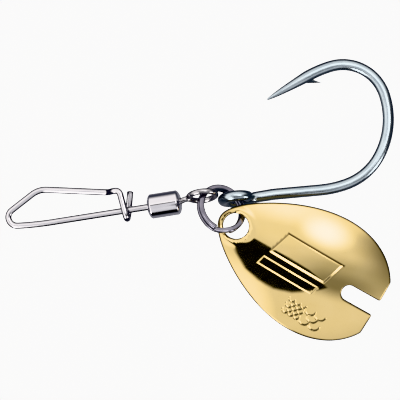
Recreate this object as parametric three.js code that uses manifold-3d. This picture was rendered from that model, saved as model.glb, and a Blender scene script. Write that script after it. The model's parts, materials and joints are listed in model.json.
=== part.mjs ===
// Spoon lure: a domed leaf blade and a single hook on a split ring, held by a barrel swivel
// with a wire snap. Millimetres, +Z up. The lure lies on its side on the plane z = 0, the
// snap at -X and the blade's tail and the hook's bend at +X.

import * as THREE from 'three';
import { mergeVertices } from 'three/addons/utils/BufferGeometryUtils.js';
import Module from 'manifold-3d';

const wasm = await Module();
wasm.setup();

// ---------------------------------------------------------------- driving dimensions

const RING = {
  outerRadius: 3.5,
  band: 0.75, // radial width of the flat wire
  turn: 0.59, // thickness of one of the two turns
  groove: 0.12, // depth of the line between the turns
  corner: 0.1, // rounding of the wire's corners
  centreHeight: 4.1,
  tilt: 35,
  tiltAzimuth: 41.7, // the ring slopes down this way
};

const BLADE = {
  length: 24.95,
  thickness: 0.55,
  nose: 2.5, // from the hole's centre to the nose
  holeRadius: 1.7,
  slotWidth: 2.1,
  slotDepth: 5.55,
  cornerRadius: 0.3,
  crownX: 11.4, // where the dome is highest, from the hole
  lengthwiseCurve: 0.0135, // drop per square millimetre along the blade
  crosswiseCurve: 0.021,
  hole: [2.0, -2.28], // hole centre from the ring's centre
  azimuth: -30.4,
  pitch: 9.0,
  roll: 4,
};

// Raised panels: a corner on the blade, then length, width and the slant of the short sides.
const PANELS = [
  { x: 5.46, y: -0.65, length: 8.78, width: 3.54, slant: 1.1 },
  { x: 4.79, y: -2.8, length: 8.67, width: 1.4, slant: 0.35 },
];
const PANEL_HEIGHT = 0.12;

const HOOK = {
  wireRadius: 0.8,
  eyeWireRadius: 0.75,
  eyeRadius: 1.8, // of the wire's centre line
  eyeTwist: 11,
  eyeEndAngle: 23, // where the eye's cut end butts on the shank
  neckAngle: 50,
  shankOffset: 0.14,
  shankLength: 8.8,
  neckBend: 1.2, // bend radius where the eye runs into the shank
  neckRun: 2, // from that bend along the shank, inside it
  bends: [[3.8, 15.3], [5.9, 41.2], [8.7, 46.5], [9.2, 88.7], [3.6, 13.2]], // arc length, turn
  pointLength: 6.35,
  pointFullness: 0.55, // below 1 the point's sides bulge
  eye: [2.0, 1.44], // eye centre from the ring's centre
  eyeHeight: 2.5,
  azimuth: 5.2,
  pitch: 3.1,
  roll: -2.7,
};

// Root, cut and tip are distances back from the point's tip; the rest are from the wire's axis.
const BARB = { root: 5.5, cut: 6.7, tip: 7.8, sunk: 0.2, rootRise: 0.62, rise: 1.8, width: 0.5 };

const SWIVEL = {
  barrelRadius: 1.7,
  barrelLength: 3.7, // of the straight part
  dome: 0.5, // each rolled end stands out this far
  // The rolled end's curve: shares of the dome and of the barrel's radius.
  rolled: [[0, 1], [0.5, 0.86], [0.88, 0.6]],
  lip: 0.1, // the rolled edge reaches this far into the straight part
  wall: 0.4,
  bore: 0.58,
  stemRadius: 0.43,
  headRadius: 1.0,
  headLength: 0.6,
  headGap: 0.15,
  eyeWireRadius: 0.41,
  eyeRadius: 1.84,
  eyeX: 5.32, // eye centre along the swivel's axis, from the barrel's centre
  eyeOffset: 0.35,
  eyeTwist: 20,
  centre: [-7.76, 0.66], // barrel centre from the ring's centre
  height: 3.2,
  azimuth: 9,
  pitch: -7.2,
};

const SNAP = {
  wireRadius: 0.45,
  // Corners of the wire, [x, y, z, bend radius], in the swivel's frame.
  corners: [
    [-17.95, 0, 0, 44],
    [-24.2, 0.67, 0, 1.17],
    [-16.78, 4.72, 0, 3.1],
    [-7.4, 2.83, 0, 0.7],
    [-6.55, 2.9, 0.95, 0.55],
    [-5.7, 2.9, 1.1, 0.6],
    [-5.3, -1.1, 1.05, 0.7],
    [-5.4, -1.15, -1.05, 0.7],
  ],
  tip: [-4.47, 2.55, -1.0],
};

// Flat faces round each round shape.
const FACETS = { wire: 12, loopWire: 10, loop: 36, head: 16, barrel: 28, hole: 32, ring: 48 };
const ARC_STEP = 14; // degrees between the stations of a bent wire
const SWEEP_STEP = 8; // the same for the hook's wide bends
const OVERLAP = 0.2; // pieces that are fused reach this far into each other

// ---------------------------------------------------------------- helpers

const rad = THREE.MathUtils.degToRad;

function solidOf(geometry) {
  const bare = geometry.clone();
  bare.deleteAttribute('normal');
  bare.deleteAttribute('uv');
  const merged = mergeVertices(bare, 1e-4);
  const vertProperties = new Float32Array(merged.attributes.position.array);
  const triVerts = new Uint32Array(merged.index.array);
  return new wasm.Manifold(new wasm.Mesh({ numProp: 3, vertProperties, triVerts }));
}

function geometryOf(solid) {
  const mesh = solid.getMesh();
  const geometry = new THREE.BufferGeometry();
  geometry.setAttribute('position', new THREE.BufferAttribute(new Float32Array(mesh.vertProperties), 3));
  geometry.setIndex(new THREE.BufferAttribute(new Uint32Array(mesh.triVerts), 1));
  geometry.computeVertexNormals();
  return geometry;
}

function joined(...geometries) {
  return geometries.map(solidOf).reduce((whole, piece) => whole.add(piece));
}

function circlePoints(radius, sides) {
  return Array.from({ length: sides }, (_, i) => {
    const angle = (i / sides) * 2 * Math.PI;
    return new THREE.Vector2(radius * Math.cos(angle), radius * Math.sin(angle));
  });
}

// A path with one station at each of its points, however far apart they are.
class WirePath extends THREE.Curve {
  constructor(points) {
    super();
    this.points = points;
  }

  getPoint(t, target = new THREE.Vector3()) {
    const place = t * (this.points.length - 1);
    const i = Math.min(Math.floor(place), this.points.length - 2);
    return target.lerpVectors(this.points[i], this.points[i + 1], place - i);
  }

  getUtoTmapping(u) {
    return u;
  }
}

function wire(points, radius) {
  return new THREE.ExtrudeGeometry(new THREE.Shape(circlePoints(radius, FACETS.wire)), {
    steps: points.length - 1,
    extrudePath: new WirePath(points),
    bevelEnabled: false,
  });
}

// Straight runs between the corners, with each corner rounded to its bend radius.
function roundedPath(start, corners, end) {
  const points = [start];
  corners.forEach(([x, y, z, radius], i) => {
    const corner = new THREE.Vector3(x, y, z);
    const before = i === 0 ? start : new THREE.Vector3(...corners[i - 1]);
    const after = i === corners.length - 1 ? end : new THREE.Vector3(...corners[i + 1]);
    const back = before.clone().sub(corner).normalize();
    const ahead = after.clone().sub(corner).normalize();
    const half = back.angleTo(ahead) / 2;
    const middle = back.clone().add(ahead).normalize();
    const centre = corner.clone().addScaledVector(middle, radius / Math.sin(half));
    const first = corner.clone().addScaledVector(back, radius / Math.tan(half)).sub(centre);
    const last = corner.clone().addScaledVector(ahead, radius / Math.tan(half)).sub(centre);
    const sweep = first.angleTo(last);
    const axis = first.clone().cross(last).normalize();
    const steps = Math.max(2, Math.ceil(THREE.MathUtils.radToDeg(sweep) / ARC_STEP));
    for (let k = 0; k <= steps; k++) {
      points.push(first.clone().applyAxisAngle(axis, (sweep * k) / steps).add(centre));
    }
  });
  points.push(end);
  return points;
}

function parallelogram({ x, y, length, width, slant }) {
  return new THREE.Shape([
    new THREE.Vector2(x, y),
    new THREE.Vector2(x + length, y),
    new THREE.Vector2(x + length + slant, y + width),
    new THREE.Vector2(x + slant, y + width),
  ]);
}

function mesh(name, solid, colour, roughness) {
  const material = new THREE.MeshStandardMaterial({ color: colour, roughness, metalness: 1 });
  const made = new THREE.Mesh(geometryOf(solid), material);
  made.name = name;
  return made;
}

// A frame turned by its azimuth, then sloped down by its pitch along its own X, then rolled.
function placed(name, position, azimuth, pitch, roll, ...pieces) {
  const frame = new THREE.Group();
  frame.name = name;
  frame.position.set(...position);
  frame.rotation.set(rad(roll), rad(pitch), rad(azimuth), 'ZYX');
  frame.add(...pieces);
  return frame;
}

// ---------------------------------------------------------------- blade

// Half the blade's width at a distance from the nose: an egg-shaped outline, which would
// close beyond the flat tail.
function halfWidth(t) {
  const closes = 1.044 * BLADE.length;
  return Math.sqrt(Math.max(0, t * (closes - t) * (0.159 + 0.0216 * t - 0.00018 * t * t)));
}

function bladeOutline() {
  const tail = BLADE.length - BLADE.nose;
  const stations = 30;
  const side = Array.from({ length: stations }, (_, i) => {
    const t = (BLADE.length - BLADE.cornerRadius) * (0.5 - 0.5 * Math.cos((Math.PI * i) / (stations - 1)));
    return new THREE.Vector2(t - BLADE.nose, halfWidth(t));
  });
  const tailHalf = halfWidth(BLADE.length) - BLADE.cornerRadius;
  const slotHalf = BLADE.slotWidth / 2;
  const slotEnd = tail - BLADE.slotDepth + slotHalf;
  const shape = new THREE.Shape(side);
  shape.lineTo(tail, tailHalf);
  shape.lineTo(tail, slotHalf);
  shape.absarc(slotEnd, 0, slotHalf, Math.PI / 2, -Math.PI / 2, false);
  shape.lineTo(tail, -slotHalf);
  shape.lineTo(tail, -tailHalf);
  for (const point of side.slice(1).reverse()) shape.lineTo(point.x, -point.y);
  shape.holes.push(new THREE.Path(circlePoints(BLADE.holeRadius, FACETS.hole)));
  return shape;
}

// Height of the dome's middle surface, zero at the hole.
function dome(x, y) {
  const { crownX, lengthwiseCurve, crosswiseCurve } = BLADE;
  const lengthwise = lengthwiseCurve * (crownX ** 2 - (x - crownX) ** 2);
  return lengthwise - crosswiseCurve * y * y;
}

// A sheet that follows the dome, larger than the blade all round.
function domedSheet(bottom, top) {
  const margin = 2;
  const cell = 0.8;
  const [length, width] = [BLADE.length + margin, 2 * halfWidth(0.6 * BLADE.length) + margin];
  const cells = [Math.round(length / cell), Math.round(width / cell)];
  const sheet = new THREE.BoxGeometry(length, width, top - bottom, ...cells, 1);
  sheet.translate(BLADE.length / 2 - BLADE.nose, 0, (top + bottom) / 2);
  const spots = sheet.attributes.position;
  for (let i = 0; i < spots.count; i++) {
    spots.setZ(i, spots.getZ(i) + dome(spots.getX(i), spots.getY(i)));
  }
  return solidOf(sheet);
}

function cutter(shape) {
  const depth = 12; // through the whole dome
  const prism = new THREE.ExtrudeGeometry(shape, { depth, bevelEnabled: false });
  prism.translate(0, 0, -depth / 2);
  return solidOf(prism);
}

function spoonBlade() {
  const half = BLADE.thickness / 2;
  const plate = domedSheet(-half, half).intersect(cutter(bladeOutline()));
  const raised = domedSheet(-half / 2, half + PANEL_HEIGHT);
  return PANELS.reduce((whole, panel) => whole.add(raised.intersect(cutter(parallelogram(panel)))), plate);
}

// ---------------------------------------------------------------- split ring

function splitRing() {
  const { outerRadius: outer, band, turn, groove, corner: edge } = RING;
  const inner = outer - band;
  const half = [
    [outer - groove, 0],
    [outer, edge],
    [outer, turn - edge],
    [outer - edge, turn],
    [inner + edge, turn],
    [inner, turn - edge],
    [inner, edge],
    [inner + groove, 0],
  ];
  const lower = half.slice(1, -1).reverse().map(([r, z]) => [r, -z]);
  const profile = [...half, ...lower].map(([r, z]) => new THREE.Vector2(r, z));
  profile.push(profile[0].clone());
  return solidOf(new THREE.LatheGeometry(profile, FACETS.ring).rotateX(Math.PI / 2));
}

// ---------------------------------------------------------------- hook

// Where the shank's axis meets the tangent that leaves the eye at the neck.
const neckX = HOOK.eyeRadius / Math.cos(rad(HOOK.neckAngle));

function hookEyePoints() {
  const { eyeRadius, eyeEndAngle, neckAngle, neckBend, neckRun } = HOOK;
  const sweep = 360 - neckAngle - eyeEndAngle;
  const steps = Math.ceil(sweep / ARC_STEP);
  const arc = [];
  for (let i = 0; i <= steps; i++) {
    const angle = rad(eyeEndAngle + (sweep * i) / steps);
    arc.push(new THREE.Vector3(eyeRadius * Math.cos(angle), 0, eyeRadius * Math.sin(angle)));
  }
  const straight = roundedPath(arc.pop(), [[neckX, 0, 0, neckBend]], new THREE.Vector3(neckX + neckRun, 0, 0));
  const twist = new THREE.Vector3(1, 0, 0);
  return [...arc, ...straight].map((point) => point.applyAxisAngle(twist, -rad(HOOK.eyeTwist)));
}

// The shank and the bend lie in the hook's XY plane: a straight run, then arc after arc.
function hookShankPoints() {
  const points = [new THREE.Vector3(neckX - OVERLAP, HOOK.shankOffset, 0)];
  let heading = 0;
  let place = new THREE.Vector3(neckX + HOOK.shankLength, HOOK.shankOffset, 0);
  points.push(place);
  for (const [length, turn] of HOOK.bends) {
    const steps = Math.max(2, Math.round(turn / SWEEP_STEP));
    for (let i = 0; i < steps; i++) {
      const middle = heading + rad(turn) / steps / 2;
      const ahead = new THREE.Vector3(Math.cos(middle), Math.sin(middle), 0);
      place = place.clone().addScaledVector(ahead, length / steps);
      heading += rad(turn) / steps;
      points.push(place);
    }
  }
  return { points, heading };
}

// The ground point, along +X from the end of the round wire.
function hookPoint() {
  const { wireRadius, pointLength, pointFullness } = HOOK;
  const profile = [new THREE.Vector2(0, -OVERLAP), new THREE.Vector2(wireRadius, -OVERLAP)];
  const rings = 8;
  for (let i = 0; i <= rings; i++) {
    const left = 1 - i / rings;
    profile.push(new THREE.Vector2(wireRadius * left ** pointFullness, pointLength * (1 - left)));
  }
  return new THREE.LatheGeometry(profile, FACETS.wire).rotateZ(-Math.PI / 2);
}

function barb() {
  const { pointLength } = HOOK;
  const shape = new THREE.Shape([
    new THREE.Vector2(pointLength - BARB.root, BARB.sunk),
    new THREE.Vector2(pointLength - BARB.root, BARB.rootRise),
    new THREE.Vector2(pointLength - BARB.tip, BARB.rise),
    new THREE.Vector2(pointLength - BARB.cut, BARB.sunk),
  ]);
  const wedge = new THREE.ExtrudeGeometry(shape, { depth: BARB.width, bevelEnabled: false });
  return wedge.translate(0, 0, -BARB.width / 2);
}

function hook() {
  const { points, heading } = hookShankPoints();
  const end = points.at(-1);
  const tools = [hookPoint(), barb()];
  for (const tool of tools) tool.rotateZ(heading).translate(end.x, end.y, end.z);
  return joined(wire(hookEyePoints(), HOOK.eyeWireRadius), wire(points, HOOK.wireRadius), ...tools);
}

// ---------------------------------------------------------------- swivel

// A turned shape about the swivel's axis, which is the X axis. Profile points are [x, radius].
function turned(profile, segments) {
  const points = profile.map(([x, radius]) => new THREE.Vector2(radius, x));
  return new THREE.LatheGeometry(points, segments).rotateZ(-Math.PI / 2);
}

function swivelBarrel() {
  const { barrelRadius, barrelLength, dome: rise, rolled, lip, wall, bore } = SWIVEL;
  const half = barrelLength / 2;
  const outside = rolled.map(([along, across]) => [half + along * rise, across * barrelRadius]);
  const inside = [[half + rise, bore], [half - lip, bore], [half - lip, barrelRadius - wall]];
  const right = [...outside, ...inside];
  const left = right.map(([x, radius]) => [-x, radius]).reverse();
  return solidOf(turned([...right, ...left, right[0]], FACETS.barrel));
}

function headAndStem(inner, outer) {
  const { headRadius, headLength, stemRadius } = SWIVEL;
  const shoulder = inner + Math.sign(outer - inner) * headLength;
  const profile = [[inner, 0], [inner, headRadius], [shoulder, headRadius],
    [shoulder, stemRadius], [outer, stemRadius], [outer, 0]];
  return turned(outer < inner ? profile.reverse() : profile, FACETS.head);
}

const headInner = SWIVEL.barrelLength / 2 - SWIVEL.lip - SWIVEL.headGap - SWIVEL.headLength;

function swivelEye() {
  const { eyeRadius, eyeWireRadius, eyeX, eyeOffset, eyeTwist } = SWIVEL;
  const loop = new THREE.TorusGeometry(eyeRadius, eyeWireRadius, FACETS.loopWire, FACETS.loop);
  loop.rotateX(Math.PI / 2 - rad(eyeTwist)).translate(eyeX, eyeOffset, 0);
  return joined(headAndStem(headInner, eyeX - eyeRadius), loop);
}

// ---------------------------------------------------------------- snap

const snapPath = roundedPath(
  new THREE.Vector3(-headInner - SWIVEL.headLength, 0, 0), SNAP.corners, new THREE.Vector3(...SNAP.tip),
);
// The wire flexes at its round end, so it is parted at its farthest point from the swivel.
const farX = Math.min(...snapPath.map((point) => point.x));
const flexAt = snapPath.findIndex((point) => point.x === farX);

function snapWire() {
  const head = headAndStem(-headInner, -headInner - SWIVEL.headLength - OVERLAP);
  return joined(head, wire(snapPath.slice(0, flexAt), SNAP.wireRadius));
}

function snapArm() {
  return solidOf(wire(snapPath.slice(flexAt + 1), SNAP.wireRadius));
}

// ---------------------------------------------------------------- assembly

const nickel = 0xd2d0d4;
const lure = new THREE.Group();
lure.add(
  placed('swivel_frame', [...SWIVEL.centre, SWIVEL.height], SWIVEL.azimuth, SWIVEL.pitch, 0,
    mesh('snap_wire', snapWire(), nickel, 0.15),
    mesh('snap_arm', snapArm(), nickel, 0.15),
    mesh('swivel_barrel', swivelBarrel(), nickel, 0.1),
    mesh('swivel_eye', swivelEye(), nickel, 0.15)),
  placed('ring_frame', [0, 0, RING.centreHeight], RING.tiltAzimuth, RING.tilt, 0,
    mesh('split_ring', splitRing(), 0x85828e, 0.2)),
  placed('hook_frame', [...HOOK.eye, HOOK.eyeHeight], HOOK.azimuth, HOOK.pitch, HOOK.roll,
    mesh('hook', hook(), 0x9aa6aa, 0.3)),
  placed('blade_frame', [...BLADE.hole, RING.centreHeight], BLADE.azimuth, BLADE.pitch, BLADE.roll,
    mesh('spoon_blade', spoonBlade(), 0xe0bd6a, 0.12)),
);

// The origin is under the middle of the lure, on the surface that it lies on.
lure.updateMatrixWorld(true);
const box = new THREE.Box3().setFromObject(lure, true);
const middle = box.getCenter(new THREE.Vector3());
lure.position.set(-middle.x, -middle.y, -box.min.z);

export default lure;
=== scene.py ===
# A spoon lure: a gold leaf blade and a tinned single hook on a split ring, behind a barrel swivel
# with a wire snap. Shapes are made in millimetres and put in place in metres.

import json
import math

import bmesh
import bpy
import numpy as np
from mathutils import Matrix, Vector
from mathutils.geometry import delaunay_2d_cdt


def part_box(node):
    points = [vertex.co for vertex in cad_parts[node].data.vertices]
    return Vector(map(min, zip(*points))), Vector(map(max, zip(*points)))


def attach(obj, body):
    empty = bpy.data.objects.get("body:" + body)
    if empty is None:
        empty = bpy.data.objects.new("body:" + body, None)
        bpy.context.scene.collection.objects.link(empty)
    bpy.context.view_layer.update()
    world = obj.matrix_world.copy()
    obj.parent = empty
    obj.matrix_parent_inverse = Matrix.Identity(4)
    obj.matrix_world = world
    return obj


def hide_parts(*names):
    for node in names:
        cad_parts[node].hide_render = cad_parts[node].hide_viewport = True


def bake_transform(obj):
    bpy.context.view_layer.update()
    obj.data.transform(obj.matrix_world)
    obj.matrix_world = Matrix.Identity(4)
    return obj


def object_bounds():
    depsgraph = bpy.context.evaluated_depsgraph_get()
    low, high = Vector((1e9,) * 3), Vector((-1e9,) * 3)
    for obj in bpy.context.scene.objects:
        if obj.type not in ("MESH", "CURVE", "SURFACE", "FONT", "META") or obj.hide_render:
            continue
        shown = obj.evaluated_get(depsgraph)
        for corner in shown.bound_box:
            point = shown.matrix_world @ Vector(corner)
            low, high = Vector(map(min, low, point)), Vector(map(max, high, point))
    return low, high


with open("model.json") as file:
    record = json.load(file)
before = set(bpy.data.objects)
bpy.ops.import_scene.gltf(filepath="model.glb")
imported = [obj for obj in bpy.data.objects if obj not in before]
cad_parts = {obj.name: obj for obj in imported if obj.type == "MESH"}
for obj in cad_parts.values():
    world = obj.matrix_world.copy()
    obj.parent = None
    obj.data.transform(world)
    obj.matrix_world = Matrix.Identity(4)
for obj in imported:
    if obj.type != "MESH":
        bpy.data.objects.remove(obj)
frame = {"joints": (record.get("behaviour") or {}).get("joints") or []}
CAD_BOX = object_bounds()

# ---------------- driving dimensions, mm and degrees

MM = 0.001

RING = {
    "outer": 3.53,
    "band": 0.78,  # radial width of the flat wire
    "turn": 0.59,  # thickness of one of its two turns
    "corner": 0.25,
    "tilt": 35,
    "azimuth": 41.7,
    "upper_end": 205,  # where the upper turn ends, round the ring
    "crossing": 42,  # the wire climbs from the lower turn to the upper one over this angle
    "crossing_ease": 4,
    "end_size": 0.86,  # the wire's cut ends are this much smaller, as a share
    "step": 2.0,  # between its stations
}

BLADE = {
    "length": 24.95,
    "thickness": 0.55,
    "nose": 2.5,  # from the hole's centre to the nose
    "closes": 1.044,  # the outline would close at this share of the length, past the flat tail
    "fullness": (0.159, 0.0216, -0.00018),  # of the outline, by powers of the distance from the nose
    "hole": 1.7,  # radius
    "annulus": (2.15, 2.9),  # the coined flat round the hole: where it ends, and where the dome is whole
    "annulus_slope": 0.27,
    "annulus_drop": 0.02,
    "slot_width": 2.1,
    "slot_depth": 5.55,
    "rims": (0.2, 0.08),  # rounding of the outer edge and of the hole's
    # how strong the painted shade is on the outer edge and round the hole
    "rim_painted_shade": (0.95, 0.2),
    "rim_painted_shade_reach": (0.1, 0.28),  # the painted shade of an edge is full, and gone, this far from it
    "fold_painted_shade_reach": (0.07, 0.19),  # the same for the painted shade in the folds of the panels
    "tail_corner": 0.5,
    "slot_corner": 0.33,
    "crown": 11.4,  # where the dome is highest, from the hole
    "lengthwise": 0.0135,  # drop per square millimetre
    "crosswise": 0.021,
    "from_ring": (2.0, -2.28, 0.0),  # the hole's centre from the ring's centre
    "azimuth": -30.4,
    "pitch": 9.0,
    "roll": 4,
}

# Raised panels: a corner on the blade, length, width, slant of the short sides, height, the
# widths of the slopes along the lower, right, upper and left sides, and how strong the painted shade in their
# folds is.
PANELS = [
    {"x": 5.46, "y": -0.65, "length": 8.78, "width": 3.54, "slant": 1.1, "height": 0.15,
     "slopes": (0.36, 0.44, 0.22, 0.17), "folds": (0.0, 0.1, 1.0, 0.75)},
    {"x": 4.79, "y": -2.8, "length": 8.67, "width": 1.4, "slant": 0.35, "height": 0.06,
     "slopes": (0.18, 0.18, 0.18, 0.18), "folds": (0.0, 0.0, 0.0, 0.0)},
]

# Blocks of stamped fish scales on the blade's lower side, small ones and then large ones.
SCALES = [
    {"x": 11.6, "y": -4.55, "radius": 0.45, "rows": 5, "columns": 3},
    {"x": 14.6, "y": -4.6, "radius": 0.8, "rows": 3, "columns": 2},
]
# The stamped lines: their width, their depth, and the painted shade laid along them.
STAMP = {"line": 0.24, "depth": 0.06, "darkness": 0.75}

HOOK = {
    "wire": 0.8,  # radii
    "eye_wire": 0.75,
    "eye": 1.8,
    "eye_twist": 11,
    "eye_end": 23,  # where the eye's cut end butts on the shank
    "eye_rounding": 0.16,  # of that end
    "neck": 50,
    "neck_bend": 1.2,  # bend radius where the eye runs into the shank
    "shank_start": 2.4,  # from the neck's corner
    "thickens": (9, 13),  # the eye's wire swells to the shank's between these, along the wire
    "shank_offset": 0.14,
    "shank_length": 8.8,
    "bends": [(3.8, 15.3), (5.9, 41.2), (8.7, 46.5), (9.2, 88.7), (3.6, 13.2)],  # arc length, turn
    "point_length": 6.35,
    "point_fullness": 0.55,  # below 1 the point's sides bulge
    "from_ring": (2.0, 1.44, -1.6),
    "azimuth": 5.2,
    "pitch": 3.1,
    "roll": -2.7,
}

# Root, cut and tip are distances back from the point's tip; the heights are from the wire's axis.
BARB = {
    "root": 5.5,
    "cut": 6.7,
    "tip": 7.8,
    "sunk": 0.2,
    "root_rise": 0.45,
    "cut_rise": 0.75,
    "rise": 1.8,
    "back": (0.2, 0.5, 0.28),  # its back leaves the root by the first, and meets the tip by the others
    "under": 0.25,  # its underside leans back by this much
    "width": 0.5,
    "thinning": 0.6,  # share of its width that it loses towards its tip
    "crest": 0.3,  # how far its thick middle reaches from the spine to the outline, as a share
}

SWIVEL = {
    "barrel": 1.7,  # radii
    "barrel_length": 3.7,  # of the straight part
    "dome": 0.5,  # each rolled end stands out this far
    "rolled": [(0, 1), (0.5, 0.86), (0.9, 0.58)],  # its curve: shares of the dome and of the radius
    "lip": 0.1,
    "lip_depth": 0.35,
    "lip_flare": 0.15,
    "roundings": [0.12, 0.5, 0.4, 0.1, 0.1, 0.1, 0.2],  # of the profile's corners, from outside to inside
    "wall": 0.4,
    "bore": 0.58,
    "stem": 0.43,
    "head": 1.0,
    "head_length": 0.6,
    "head_gap": 0.15,
    "eye_wire": 0.41,
    "eye": 1.84,
    "eye_x": 5.32,
    "eye_offset": 0.35,
    "eye_twist": 20,
    "eye_turn": (214, 526),  # from where the stem meets the eye to the wire's cut end
    "eye_rounding": 0.1,  # of that end
    "eye_lead": 0.75,  # the stem starts to curve this far before the eye
    "eye_curve": (1.7, 1.1),  # how strongly that curve keeps to the stem and to the eye
    "eye_settles": (-1.0, 0.8),  # the wire goes over to the eye's offset here, from the stem's end
}

SNAP = {
    "wire": 0.45,  # radius
    # Corners of the wire, x, y, z and bend radius, in the swivel's frame.
    "corners": [
        (-17.95, 0, 0, 44),
        (-24.2, 0.67, 0, 1.17),
        (-16.78, 4.72, 0, 3.1),
        (-7.4, 2.83, 0, 0.7),
        (-6.55, 2.9, 0.95, 0.55),
        (-5.7, 2.9, 1.1, 0.6),
        (-5.3, -1.1, 1.05, 0.7),
        (-5.4, -1.15, -1.05, 0.7),
    ],
    "tip": (-4.47, 2.55, -1.0),
    "tip_rounding": 0.3,
    "bend_reach": 1.9,  # the piece round the far end runs this far along the wire each way from it
    "step": 0.1,  # between the wire's stations
}

# ---------------- places, from the frame


def joint(name):
    return next(j for j in frame["joints"] if j["name"] == name)


def middle(node):
    low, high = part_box(node)
    return (low + high) / 2


def placed(origin, azimuth, pitch, roll=0):
    """A frame at origin: turned by azimuth, sloped down along its own X, then rolled; in millimetres."""
    turn = Matrix.Rotation(math.radians(azimuth), 4, "Z")
    slope = Matrix.Rotation(math.radians(pitch), 4, "Y")
    lean = Matrix.Rotation(math.radians(roll), 4, "X")
    return Matrix.Translation(origin) @ turn @ slope @ lean @ Matrix.Scale(MM, 4)


ring_centre = middle("split_ring")
RING_PLACE = placed(ring_centre, RING["azimuth"], RING["tilt"])
BLADE_PLACE = placed(
    ring_centre + Vector(BLADE["from_ring"]) * MM, BLADE["azimuth"], BLADE["pitch"], BLADE["roll"]
)
HOOK_PLACE = placed(
    ring_centre + Vector(HOOK["from_ring"]) * MM, HOOK["azimuth"], HOOK["pitch"], HOOK["roll"]
)
spin = joint("barrel_spin")
spin_axis = Vector(spin["axis"]).normalized()
SWIVEL_PLACE = placed(
    Vector(spin["pos_m"]),
    math.degrees(math.atan2(spin_axis.y, spin_axis.x)),
    -math.degrees(math.asin(spin_axis.z)),
)

# ---------------- paths


def unit(v):
    return v / np.linalg.norm(v)


def rotate(points, axis, degrees):
    turn = np.array(Matrix.Rotation(math.radians(degrees), 3, axis))
    return np.asarray(points, float) @ turn.T


def smoothstep(low, high, value):
    share = np.clip((value - low) / (high - low), 0, 1)
    return share * share * (3 - 2 * share)


STRAIGHT = 89.9  # half a corner's angle, above which it needs no rounding


def rounded_path(points, radii, step):
    """Straight runs between points, with each inner point rounded to its radius by short chords."""
    points = [np.array(p, float) for p in points]
    path = [points[0]]
    for before, corner, after, radius in zip(points, points[1:], points[2:], radii):
        back, ahead = unit(before - corner), unit(after - corner)
        half = math.acos(np.clip(back @ ahead, -1, 1)) / 2
        if radius == 0 or half > math.radians(STRAIGHT):
            path.append(corner)
            continue
        centre = corner + unit(back + ahead) * radius / math.sin(half)
        first = corner + back * radius / math.tan(half) - centre
        last = corner + ahead * radius / math.tan(half) - centre
        sweep = math.pi - 2 * half
        count = max(4, math.ceil(radius * sweep / step))
        for i in range(count + 1):
            share = i / count
            weights = math.sin((1 - share) * sweep), math.sin(share * sweep)
            path.append((first * weights[0] + last * weights[1]) / math.sin(sweep) + centre)
    path.append(points[-1])
    return np.array(path)


def lengths_along(path):
    return np.concatenate([[0], np.cumsum(np.linalg.norm(np.diff(path, axis=0), axis=1))])


def resampled(path, step):
    """The same path with points an even distance apart."""
    along = lengths_along(path)
    places = np.linspace(0, along[-1], max(2, round(along[-1] / step) + 1))
    return np.stack([np.interp(places, along, path[:, i]) for i in range(3)], axis=1)


def smoothed(path, rounds):
    """The path with its small kinks eased, its ends kept."""
    path = path.copy()
    for _ in range(rounds):
        path[1:-1] = (path[:-2] + 2 * path[1:-1] + path[2:]) / 4
    return path


# ---------------- shapes: vertices, faces, and a vector stored on each point


def band(first, second, count):
    """Faces between two closed rows of vertices, whose first ones have these numbers."""
    faces = []
    for k in range(count):
        after = (k + 1) % count
        faces.append((first + k, first + after, second + after, second + k))
    return faces


def stitched(rings):
    """Faces of a closed tube whose rings have the same number of points, with a fan at each end.
    The last two vertices are the middles of the ends."""
    count, sides = len(rings), len(rings[0])
    faces = []
    for i in range(count - 1):
        faces += band(i * sides, (i + 1) * sides, sides)
    start, end = count * sides, count * sides + 1
    last = (count - 1) * sides
    for k in range(sides):
        faces.append((start, (k + 1) % sides, k))
        faces.append((end, last + k, last + (k + 1) % sides))
    return faces


def frames_along(path):
    """Tangents and the two cross directions at each point, carried along without twisting."""
    tangents = np.gradient(path, axis=0)
    tangents /= np.linalg.norm(tangents, axis=1)[:, None]
    near_up = (0.12, 0.3, 1.0)  # along no wire here
    side = unit(np.cross(tangents[0], near_up))
    sides = []
    for tangent in tangents:
        side = unit(side - tangent * (side @ tangent))
        sides.append(side)
    sides = np.array(sides)
    return tangents, sides, np.cross(tangents, sides)


def circle(sides):
    angles = np.linspace(0, 2 * math.pi, sides, endpoint=False)
    return np.stack([np.cos(angles), np.sin(angles)], axis=1)


def rounded_over(point, out, radius, rounding, steps=5):
    """Stations out from a point, on which a wire rounds over to a flat end, and a ring on that end."""
    angles = np.linspace(0, math.pi / 2, steps + 1)[1:]
    places = [point + out * rounding * math.sin(a) for a in angles]
    sizes = [radius - rounding * (1 - math.cos(a)) for a in angles]
    return places + places[-1:], sizes + [sizes[-1] / 2]


def eased_ends(path, radii, start_round, end_round):
    """The path and its radii, with both ends rounded over inside its length."""
    inner = path.copy()
    start_out, end_out = unit(path[0] - path[1]), unit(path[-1] - path[-2])
    inner[0] = path[0] - start_out * start_round
    inner[-1] = path[-1] - end_out * end_round
    first, first_radii = rounded_over(inner[0], start_out, radii[0], start_round)
    last, last_radii = rounded_over(inner[-1], end_out, radii[-1], end_round)
    stations = np.array(first[::-1] + list(inner) + last)
    return stations, np.array(first_radii[::-1] + list(radii) + last_radii)


FLAT_END = 0.004  # rounding of a wire's end that is hidden or ground sharp
BUTT_END = 0.001  # the same where the wire runs on in the next piece


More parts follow.
